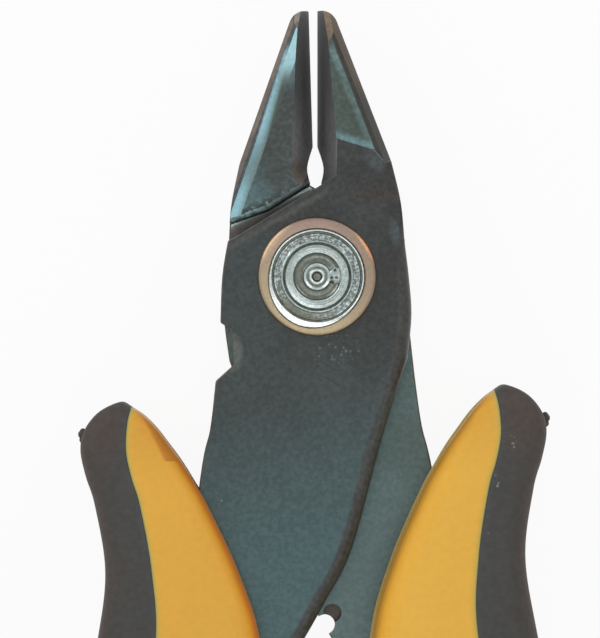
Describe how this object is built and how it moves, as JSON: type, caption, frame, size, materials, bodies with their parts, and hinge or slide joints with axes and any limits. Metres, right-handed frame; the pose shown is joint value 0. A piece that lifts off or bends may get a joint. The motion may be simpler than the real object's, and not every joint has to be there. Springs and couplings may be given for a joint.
{
  "type": "cutting pliers",
  "caption": "Small cutting pliers with lap-jointed black steel levers on a ringed rivet, ground flush-cutting jaws, curved two-colour grips and a hairpin return spring.",
  "frame": {"origin": "on the pivot axis, at the rivet's flat back face", "axes": "+X across the tool to the right of the front face, +Y along the tool to the jaw tips, +Z along the pivot out of the front face"},
  "size_m": [0.0446, 0.1346, 0.0112],
  "materials": {
    "lever_steel": "dark teal-black oxide, fine ground grain",
    "rivet_steel": "bright turned rings",
    "cup_copper": "satin copper colour",
    "grip_yellow": "smooth satin moulding",
    "grip_black": "matt, very fine grain",
    "spring_steel": "drawn wire"
  },
  "bodies": {
    "front_half": {"front_lever": "lever_steel", "pivot_rivet": "rivet_steel", "front_cup_washer": "cup_copper", "back_cup_washer": "cup_copper", "left_grip_core": "grip_yellow", "left_grip_cover": "grip_black", "return_spring": "spring_steel"},
    "back_half": {"back_lever": "lever_steel", "right_grip_core": "grip_yellow", "right_grip_cover": "grip_black"}
  },
  "joints": [
    {"name": "jaw_pivot", "type": "hinge", "parent": "front_half", "child": "back_half", "pos_m": [0, 0, 0.0034], "axis": [0, 0, 1], "range_deg": [-1.65, 10], "stiffness_Nm_per_rad": 1, "deforming": ["return_spring"]}
  ]
}
